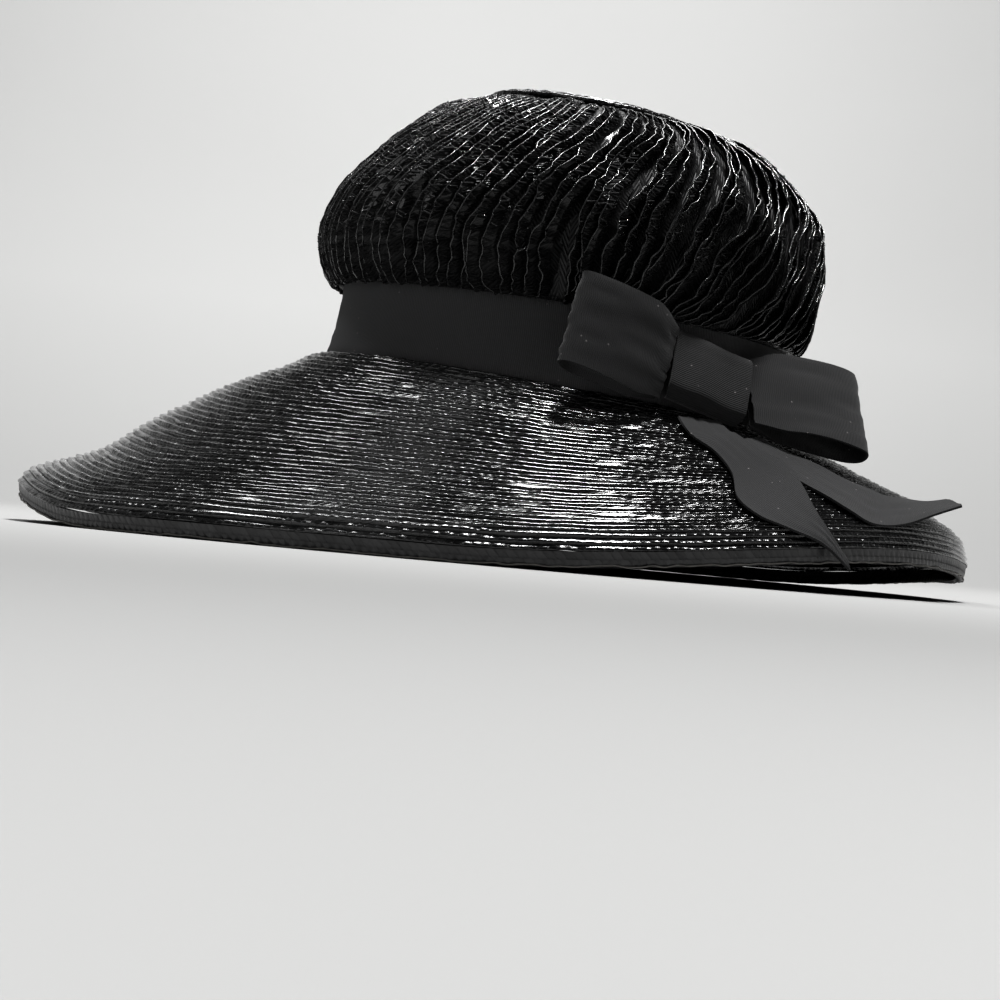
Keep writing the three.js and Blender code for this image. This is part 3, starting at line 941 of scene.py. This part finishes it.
def rim_inward(turn):
    """The level direction from the rim towards the headline."""
    inward = brim_surface(0.0, turn) - brim_surface(1.0, turn)
    inward[..., 2] = 0
    return unit(inward)


def rim_place(turn, inset, height):
    """A point of the lip: inset from the rim's widest line, height over the lip's foot."""
    point = brim_surface(1.0, turn) + rim_inward(turn) * np.asarray(inset)[..., None]
    point[..., 2] = foot_height(turn) + height
    return point


class STRAWHAT_OT_rim(bpy.types.Operator):
    """Builds the turned-down lip of the rim and the thread sewn along its foot"""

    bl_idname = "straw_hat.rim"
    bl_label = "Rim"

    def execute(self, context):
        finish = context.scene.straw_hat_finish
        random = np.random.default_rng(8)
        straw = straw_material("lip_straw", tuple(finish.straw_highlight), tuple(finish.lip_straw))
        self.build_lip(random, straw)
        self.build_thread(random, thread_material(tuple(finish.thread)))
        return {"FINISHED"}

    def build_lip(self, random, straw):
        """The lip, with a stitch of the plait every four steps round it."""
        turns = even_turns(LIP_STITCHES * 4)
        share = turns / (2 * math.pi)
        inset, height = LIP_SECTION["inset"], LIP_SECTION["height"]
        up = height / LIP_HEIGHT
        plait = np.sin(2 * math.pi * (share[:, None] * LIP_STITCHES + height * LIP_SLANT))
        outward = np.where(np.arange(len(inset)) > np.argmin(height), -1, 1)
        swell = LIP_SWELL * plait * outward * np.sin(np.clip(up, 0, 1) * math.pi)
        sway = LIP_SWAY * wander(random, 1, share, knots=60)[0][:, None] * (1 - up)
        ripple = LIP_RIPPLE * wander(random, 1, share, knots=240)[0][:, None]
        level = np.where(height < 1, np.maximum(height + ripple, LIP_CLEARANCE), height)
        points = rim_place(turns[:, None], inset - swell + sway, level)
        weave = joined(closed_shares(len(turns))[:, None] * LIP_STITCHES, up * 2)
        add_grid("rim_lip", points, weave, straw, looped=(True, False), slot="straw_braid")

    def build_thread(self, random, thread):
        turns = even_turns(STEPS["rim_thread"])
        slack = wander(random, 2, turns / (2 * math.pi), knots=260)
        inset, height = (THREAD_PLACE + THREAD_SLACK[i] * slack[i] for i in (0, 1))
        centre = rim_place(turns, inset, height)
        sides = even_turns(6)
        points = centre[:, None] + THREAD_RADIUS * rim_inward(turns)[:, None] * np.cos(sides)[:, None]
        points[..., 2] += THREAD_RADIUS * np.sin(sides)
        weave = joined(closed_shares(len(turns))[:, None] * THREAD_TWISTS, np.arange(len(sides) + 1))
        add_grid("rim_thread", points, weave, thread, looped=(True, True), slot="straw_braid")


def puckers(random, share, turn, waves=10):
    """A gentle swell over the crown between about -1 and 1, in lumps some 30 mm across."""
    swell = 0
    for _ in range(waves):
        round_times = random.integers(8, 20)
        slant = random.uniform(-22, 22)
        start = random.uniform(0, 6)
        swell = swell + np.cos(round_times * turn + slant * share + start)
    return swell / math.sqrt(waves)


def sweep(share, turn):
    """How far round the gathers are drawn at a share of the way up, most of it towards the back."""
    backness = smoothstep(-np.cos(turn), -0.2, 0.6)
    front, back = (eased(SWEEP, "share", column, share) for column in ("front", "back"))
    return np.radians(mix(front, back, backness))


def crown_strips(size, seed):
    """Grid for each gathered strip, strips by levels by places across, and its Weave numbers.

    The third result is how tight the gathers are at each level, from 0 to 1.
    """
    random = np.random.default_rng(seed)
    count = size.strips
    level = np.linspace(0, 1, STRIP_LEVELS)
    share = mix(STRIP_FOOT, 1.0, level)
    spacing = 2 * math.pi / count
    start = even_turns(count)[:, None] + spacing * random.uniform(-0.25, 0.25, (count, 1))
    slow = wander(random, count, level, knots=4, looped=False)
    medium = wander(random, count, level, knots=16, looped=False, kinked=True)
    quick = wander(random, count, level, knots=50, looped=False, kinked=True)
    turn = start + sweep(share, start) + spacing * (0.5 * slow + 0.16 * medium + 0.05 * quick)
    tight = flowing(CROWN_RINGS, "half", share) / CROWN_RINGS["half"].max()
    tight = tight * mix(0.3, 1.0, smoothstep(share, 0.0, 0.2))
    across = STRIP_SECTION["across"]
    free = smoothstep(-across, -0.2, 0.55)
    width = 1 + 0.25 * wander(random, count, level, knots=6, looped=False)
    offset = across * width[..., None] + free * (0.12 * quick + 0.12 * medium)[..., None] * size.jag
    lift = 1 + 0.35 * slow + 0.2 * medium + 0.12 * quick
    stand = STRIP_SECTION["stand"] * size.stand * lift[..., None]
    dent = 0.3 * wander(random, count, level, knots=40, looped=False, kinked=True)[..., None]
    pucker = 0.8 * puckers(random, share, turn) * smoothstep(share, 0.1, 0.3)
    relief = stand + dent * np.sin(free * math.pi) * size.jag + pucker[..., None]
    out = relief * tight[:, None] - STRIP_SINK
    turns = turn[..., None] + spacing * offset
    share = np.broadcast_to(share[:, None], turns.shape)
    points = ring_surface(CROWN_RINGS, share, turns) + crown_facing(share, turns) * out[..., None]
    stitch = lengths_along(points[:, :, 2], 1) / CROWN_STITCH
    within = (across - across[0]) / (across[-1] - across[0]) * 0.999
    return points, joined(stitch[..., None], np.arange(count)[:, None, None] + within), tight


class STRAWHAT_OT_crown(bpy.types.Operator):
    """Builds the crown: its shell, the gathered strips over it and the tip's rows"""

    bl_idname = "straw_hat.crown"
    bl_label = "Crown"

    def execute(self, context):
        size = context.scene.straw_hat_crown
        finish = context.scene.straw_hat_finish
        straw, pale = straw_tones(finish)
        points, weave, tight = crown_strips(size, seed=11)
        add_grids(
            "crown_strips", points, weave, straw_material("crown_straw", straw, pale),
            slot="gathered_straw", replaces=("crown_wall",),
        )
        # The edges' paler colour is a painted highlight along each strip's free edge.
        highlit = straw_material("crown_edge_straw", pale, tuple(finish.edge_highlight_straw))
        self.build_edges(points, weave, tight, highlit)
        self.build_strands(points, straw_material("crown_strand_straw", pale, pale))
        self.build_shell(size, straw_material("crown_shell_straw", straw, pale))
        self.build_tip(size, straw_material("tip_straw", straw, pale))
        return {"FINISHED"}

    def build_edges(self, strips, weave, tight, straw):
        """The outermost straw of each strip's free edge, thinner where the gathers are tight."""
        edge, inner = strips[:, :, -1], strips[:, :, -2]
        proud = edge + 0.4 * unit(edge - inner)
        cords = tubes(proud, EDGE_RADIUS * np.sqrt(tight)[:, None, None])
        weave = np.repeat(weave[:, :, -1:], TUBE_SIDES + 1, axis=2)
        add_grids("crown_edges", cords, weave, straw, looped=(False, True), slot="gathered_straw")

    def build_strands(self, strips, straw):
        """Single straws that zigzag over the strips' faces, here and there lost in the plait."""
        random = np.random.default_rng(23)
        middle, edge = strips[:, 1:, 3], strips[:, 1:, -1]
        inward = np.stack([edge[:, :-1], middle[:, 1:]], axis=2)[:, ::2]
        outward = np.stack([middle[:, :-1], edge[:, 1:]], axis=2)[:, 1::2]
        strands = np.concatenate([inward, outward], axis=1).reshape(-1, 2, 3)
        strands = strands[random.uniform(size=len(strands)) < STRAND_SHARE]
        strands = strands + random.uniform(-0.35, 0.35, strands.shape)
        strands += 0.25 * unit(strands * np.array([1.0, 1.0, 0.4]))
        cords = tubes(strands, random.uniform(0.25, 0.55, (len(strands), 1, 1, 1)))
        number = random.uniform(0, 400, len(strands))[:, None, None] + np.zeros((1, 2, TUBE_SIDES + 1))
        weave = joined(number, np.floor(number))
        add_grids("crown_strands", cords, weave, straw, looped=(False, True), slot="gathered_straw")

    def build_shell(self, size, straw):
        """The wall under the strips, which shows between them and from inside."""
        turns = even_turns(STEPS["crown_shell"])[:, None]
        foot = np.linspace(0, 1, 4)
        outer = np.linspace(0.02, 1, 26)
        inner = outer[:4:-1]
        outer_gather, inner_gather = (flowing(CROWN_RINGS, "gather", share) for share in (outer, inner))
        behind = RIBBON_WALL + GAP
        rows = [
            ring_surface(BAND_RINGS, foot, turns, -behind),
            ring_surface(CROWN_RINGS, outer, turns, -outer_gather - 0.8),
            ring_surface(CROWN_RINGS, inner, turns, -inner_gather - CROWN_WALL),
            ring_surface(BAND_RINGS, foot[::-1], turns, -behind - CROWN_WALL),
        ]
        points = np.concatenate(rows, axis=1)
        along = np.append(lengths_along(points, 1).mean(axis=0), 0) / SHELL_STITCH
        weave = joined(along, closed_shares(len(turns))[:, None] * size.strips)
        add_grid("crown_shell", points, weave, straw, looped=(True, True), flip=True, slot="gathered_straw")

    def build_tip(self, size, straw):
        """Rows of braid from the middle of the tip to its edge, and its plain underside."""
        random = np.random.default_rng(13)
        top = {column: values[-1] for column, values in CROWN_RINGS.items()}
        half_length = (top["back_y"] - top["front_y"]) / 2 + TIP_OVERHANG
        half_width = top["half"] + TIP_OVERHANG
        tilt = (top["back_z"] - top["front_z"]) / (top["back_y"] - top["front_y"])
        turns = even_turns(STEPS["crown_tip_rows"])
        row = np.repeat(np.arange(size.tip_rows), len(ROW_SECTION["across"]))
        numbers = row + np.tile(ROW_SECTION["across"], size.tip_rows)
        swell = wander(random, size.tip_rows, turns / (2 * math.pi), knots=60)[row].T
        share = (numbers + 0.08 * swell) / size.tip_rows
        rise = np.tile(ROW_SECTION["rise"], size.tip_rows) * (0.75 + 0.3 * swell)
        height = eased(TIP_TOP, "share", "height", np.clip(share, 0, 1)) + rise
        under = (len(turns), len(TIP_UNDER["share"]))
        share = np.concatenate([np.clip(share, 0, 1), np.broadcast_to(TIP_UNDER["share"], under)], axis=1)
        height = np.concatenate([height, np.broadcast_to(TIP_UNDER["height"], under)], axis=1)
        along = -share * half_length * np.cos(turns)[:, None]
        points = joined(
            share * half_width * np.sin(turns)[:, None],
            (top["front_y"] + top["back_y"]) / 2 + along,
            (top["front_z"] + top["back_z"]) / 2 + along * tilt + height + GAP,
        )
        numbers = np.concatenate([numbers, size.tip_rows + np.arange(under[1])])
        radius = (np.floor(numbers) + 1) * half_length / size.tip_rows
        stitches = np.round(2 * math.pi * radius / TIP_STITCH)
        weave = joined(closed_shares(len(turns))[:, None] * stitches, numbers)
        add_grid(
            "crown_tip_rows", points, weave, straw, looped=(True, False), slot="straw_braid",
            replaces=("crown_tip",),
        )


# ---- Ribbon pieces ----


class STRAWHAT_OT_band(bpy.types.Operator):
    """Builds the grosgrain band round the foot of the crown"""

    bl_idname = "straw_hat.band"
    bl_label = "Band"

    def execute(self, context):
        finish = context.scene.straw_hat_finish
        # The band uses paler colours than the bow and tails: painted light that lifts the shade under the
        # crown's bulge.
        ribbon = ribbon_material("band_ribbon", tuple(finish.ribbon_raised), tuple(finish.ribbon_band_painted_light))
        random = np.random.default_rng(17)
        turns = even_turns(STEPS["hatband_ribbon"])
        share = turns / (2 * math.pi)
        level = np.linspace(0, 1, 12)
        out = 0.2 * wander(random, len(level), share, knots=40).T - RIBBON_WALL / 2
        middle = ring_surface(BAND_RINGS, level, turns[:, None], out)
        middle[..., 2] += 0.35 * wander(random, 1, share, knots=36)[0][:, None] * level
        add_ribbon("hatband", middle, ribbon, looped=True)
        return {"FINISHED"}


def rotation(degrees, axis):
    return np.array(Matrix.Rotation(math.radians(degrees), 3, axis))


def bow_frame():
    """The bow's middle, and its axes as columns: towards the back, into the crown and up."""
    middle, further = (ring_surface(BAND_RINGS, 0.5, BOW_TURN + step, BOW_STANDOFF) for step in (0, 0.01))
    along = unit((further - middle) * (1 - UP))
    return middle + BOW_LIFT * UP, np.stack([along, np.cross(UP, along), UP], axis=1)


def place_on_bow(points, dip, lean, lift=0.0):
    """Points of the bow's own frame, dipped and leant, in the hat's frame."""
    middle, axes = bow_frame()
    turned = points @ (rotation(-lean, "X") @ rotation(dip, "Y")).T
    turned[..., 2] += lift
    return turned @ axes.T + middle


class STRAWHAT_OT_bow(bpy.types.Operator):
    """Builds the bow's two loops and the knot over them"""

    bl_idname = "straw_hat.bow"
    bl_label = "Bow"

    def execute(self, context):
        finish = context.scene.straw_hat_finish
        ribbon = ribbon_material("bow_ribbon", tuple(finish.ribbon), tuple(finish.ribbon_raised))
        for seed, (name, loop) in enumerate(LOOPS.items(), start=20):
            middle = self.loop_middle(loop, np.random.default_rng(seed))
            add_ribbon(name, middle, ribbon)
        middle = place_on_bow(self.knot_middle(), KNOT_DIP, KNOT_LEAN)
        add_ribbon("bow_knot", middle, ribbon)
        return {"FINISHED"}

    def loop_middle(self, loop, random):
        """The loop's middle surface, with slack in its edges and a pinch at the knot."""
        length = np.linspace(0, 1, 90)
        height = np.linspace(-1, 1, 15)
        along, out = (flowing(loop["rows"], column, length)[:, None] for column in ("along", "out"))
        pinch = mix(LOOP_PINCH, 1, smoothstep(np.abs(along), KNOT_LENGTH / 2, LOOP_PINCH_END))
        slack = wander(random, len(height), length, knots=6, looped=False).T
        middle = joined(
            along + 0.4 * slack, -out - 0.5 * slack, height * RIBBON_WIDTH / 2 * pinch + 0.3 * slack
        )
        return place_on_bow(middle, loop["dip"], loop["lean"], loop["lift"])

    def knot_middle(self):
        """The wrap's middle surface: up over the bow from under it, with soft lengthwise folds."""
        share = np.linspace(0, 1, 60)[:, None]
        place = np.linspace(-0.5, 0.5, 28)
        height, out = (flowing(KNOT_SECTION, column, share) for column in ("height", "out"))
        fold = 0.55 * np.cos(2 * math.pi * KNOT_FOLDS * place + 0.8) * smoothstep(out, 3, 8)
        narrow = mix(0.88, 1.0, smoothstep(out, 1, 8))
        return joined(place * KNOT_LENGTH * narrow, -out - fold, height * KNOT_HEIGHT)


class STRAWHAT_OT_tails(bpy.types.Operator):
    """Builds the bow's two tails, laid over the brim"""

    bl_idname = "straw_hat.tails"
    bl_label = "Tails"

    def execute(self, context):
        finish = context.scene.straw_hat_finish
        ribbon = ribbon_material("tail_ribbon", tuple(finish.ribbon), tuple(finish.ribbon_raised))
        share = np.linspace(0, 1, 90)
        across = np.linspace(0, 1, 13)
        for seed, (name, rows) in enumerate(TAILS.items(), start=30):
            crown, rim = (
                joined(*(flowing(rows, f"{side}_{axis}", share) for axis in "xyz"))
                for side in ("crown", "rim")
            )
            middle = mix(crown[:, None], rim[:, None], across[:, None])
            slack = wander(np.random.default_rng(seed), len(across), share, knots=7, looped=False).T
            middle[..., 2] += 0.35 * slack + 0.55
            add_ribbon(name, middle, ribbon)
        return {"FINISHED"}


# ---- Stage ----


# The paper's radius where its floor ends, the radius of its bend and the height of its wall.
PAPER_FLAT = 1500
PAPER_BEND = 1700
PAPER_WALL = 2600

# Each light's name, place and target in metres, width in metres, strength in watts and spread in degrees.
HAT_MIDDLE = (0, 0, 0.1)
LIGHTS = (
    ("key_light", (0.0, 0.36, 2.6), HAT_MIDDLE, 0.5, 37.0, 105),
    ("spark_light", (-1.0, -0.95, 2.25), HAT_MIDDLE, 0.5, 4.5, 80),
    ("fill_light", (1.7, -1.3, 1.0), HAT_MIDDLE, 1.0, 5.5, 180),
    ("wall_light", (-2.2, 0.35, 3.1), (-2.6, 0.05, 0.3), 1.2, 61.0, 110),
    ("floor_light", (1.1, 0, 0.9), (1.1, 0, 0), 0.2, 1.05, 60),
)
AIR_LIGHT = 0.08

# What the camera looks at: a height on the hat's axis, then steps to the right and up in the view.
AIM_HEIGHT = 14.5
AIM_RIGHT = 2.7
AIM_UP = 11.1


class STRAWHAT_OT_stage(bpy.types.Operator):
    """Builds the floor, the backdrop, the lights and the camera"""

    bl_idname = "straw_hat.stage"
    bl_label = "Stage"

    def execute(self, context):
        scene = context.scene
        self.build_paper(scene)
        self.place_camera(scene)
        for light in LIGHTS:
            self.add_light(scene, *light)
        scene.world = scene.world or bpy.data.worlds.new("studio_air")
        scene.world.use_nodes = True
        background = scene.world.node_tree.nodes["Background"].inputs
        background["Color"].default_value = (1, 1, 1, 1)
        background["Strength"].default_value = AIR_LIGHT
        scene.view_settings.view_transform = "Standard"
        scene.view_settings.gamma = 0.86
        return {"FINISHED"}

    def build_paper(self, scene):
        """A round floor that curves up into a wall on every side."""
        bend = np.linspace(0, math.pi / 2, 24)
        wall = PAPER_FLAT + PAPER_BEND
        radius = np.concatenate([[1, 300, 1000], PAPER_FLAT + PAPER_BEND * np.sin(bend), [wall]])
        height = np.concatenate([[0, 0, 0], PAPER_BEND * (1 - np.cos(bend)), [PAPER_WALL]])
        turns = even_turns(STEPS["stage_floor"])[:, None]
        points = joined(np.sin(turns) * radius, -np.cos(turns) * radius, height)
        faces, _ = grid_faces(points.shape[:2], (True, False))
        centre = np.arange(len(turns)) * len(radius)
        mesh = bpy.data.meshes.new("stage_floor")
        mesh.from_pydata((points.reshape(-1, 3) * MM).tolist(), [], [*faces.tolist(), centre.tolist()])
        mesh.shade_smooth()
        mesh.materials.append(stage_material(tuple(scene.straw_hat_stage.paper)))
        floor = bpy.data.objects.new("stage_floor", mesh)
        scene.collection.objects.link(floor)

    def place_camera(self, scene):
        """Looks at the hat from its left side, from a little over the floor."""
        stage = scene.straw_hat_stage
        azimuth, elevation, roll = stage.azimuth, stage.elevation, stage.roll
        level = Vector((math.cos(azimuth), math.sin(azimuth), 0))
        outward = Vector((math.sin(azimuth), -math.cos(azimuth), 0))
        back = outward * math.cos(elevation) + Vector(UP) * math.sin(elevation)
        over = back.cross(level)
        right = level * math.cos(roll) + over * math.sin(roll)
        top = over * math.cos(roll) - level * math.sin(roll)
        aim = (Vector(UP) * AIM_HEIGHT + right * AIM_RIGHT + top * AIM_UP) * MM
        camera = bpy.data.objects.new("camera", bpy.data.cameras.new("camera"))
        camera.data.lens = stage.lens
        camera.data.sensor_width = 36
        camera.data.clip_start = 0.01
        axes = Matrix((right, top, back)).transposed().to_4x4()
        camera.matrix_world = Matrix.Translation(aim + back * stage.distance) @ axes
        scene.collection.objects.link(camera)
        scene.camera = camera

    def add_light(self, scene, name, place, target, width, watts, spread):
        """A square soft light that looks at its target."""
        light = bpy.data.lights.new(name, "AREA")
        light.size = width
        light.energy = watts
        light.spread = math.radians(spread)
        holder = bpy.data.objects.new(name, light)
        holder.location = place
        holder.rotation_euler = (Vector(target) - Vector(place)).to_track_quat("-Z", "Y").to_euler()
        scene.collection.objects.link(holder)


# ---- The add-on ----


class STRAWHAT_PT_panel(bpy.types.Panel):
    """Lists the hat's pieces and their settings"""

    bl_idname = "STRAWHAT_PT_panel"
    bl_label = "Straw Hat"
    bl_space_type = "VIEW_3D"
    bl_region_type = "UI"
    bl_category = "Straw Hat"

    def draw(self, context):
        for operator in OPERATORS:
            self.layout.operator(operator.bl_idname)
        for name in SETTINGS:
            settings = getattr(context.scene, name)
            box = self.layout.box()
            for field in settings.bl_rna.properties:
                if field.identifier not in ("rna_type", "name"):
                    box.prop(settings, field.identifier)


OPERATORS = (
    STRAWHAT_OT_stage,
    STRAWHAT_OT_brim,
    STRAWHAT_OT_rim,
    STRAWHAT_OT_crown,
    STRAWHAT_OT_band,
    STRAWHAT_OT_bow,
    STRAWHAT_OT_tails,
)
SETTINGS = {
    "straw_hat_brim": StrawHatBrimSettings,
    "straw_hat_crown": StrawHatCrownSettings,
    "straw_hat_finish": StrawHatFinishSettings,
    "straw_hat_stage": StrawHatStageSettings,
}
CLASSES = (*SETTINGS.values(), *OPERATORS, STRAWHAT_PT_panel)


def register():
    for cls in CLASSES:
        bpy.utils.register_class(cls)
    for name, cls in SETTINGS.items():
        setattr(bpy.types.Scene, name, bpy.props.PointerProperty(type=cls))


def unregister():
    for name in SETTINGS:
        delattr(bpy.types.Scene, name)
    for cls in reversed(CLASSES):
        bpy.utils.unregister_class(cls)


def main():
    register()
    bpy.ops.straw_hat.stage()
    bpy.ops.straw_hat.brim()
    bpy.ops.straw_hat.rim()
    bpy.ops.straw_hat.crown()
    bpy.ops.straw_hat.band()
    bpy.ops.straw_hat.bow()
    bpy.ops.straw_hat.tails()


if __name__ == "__main__":
    main()
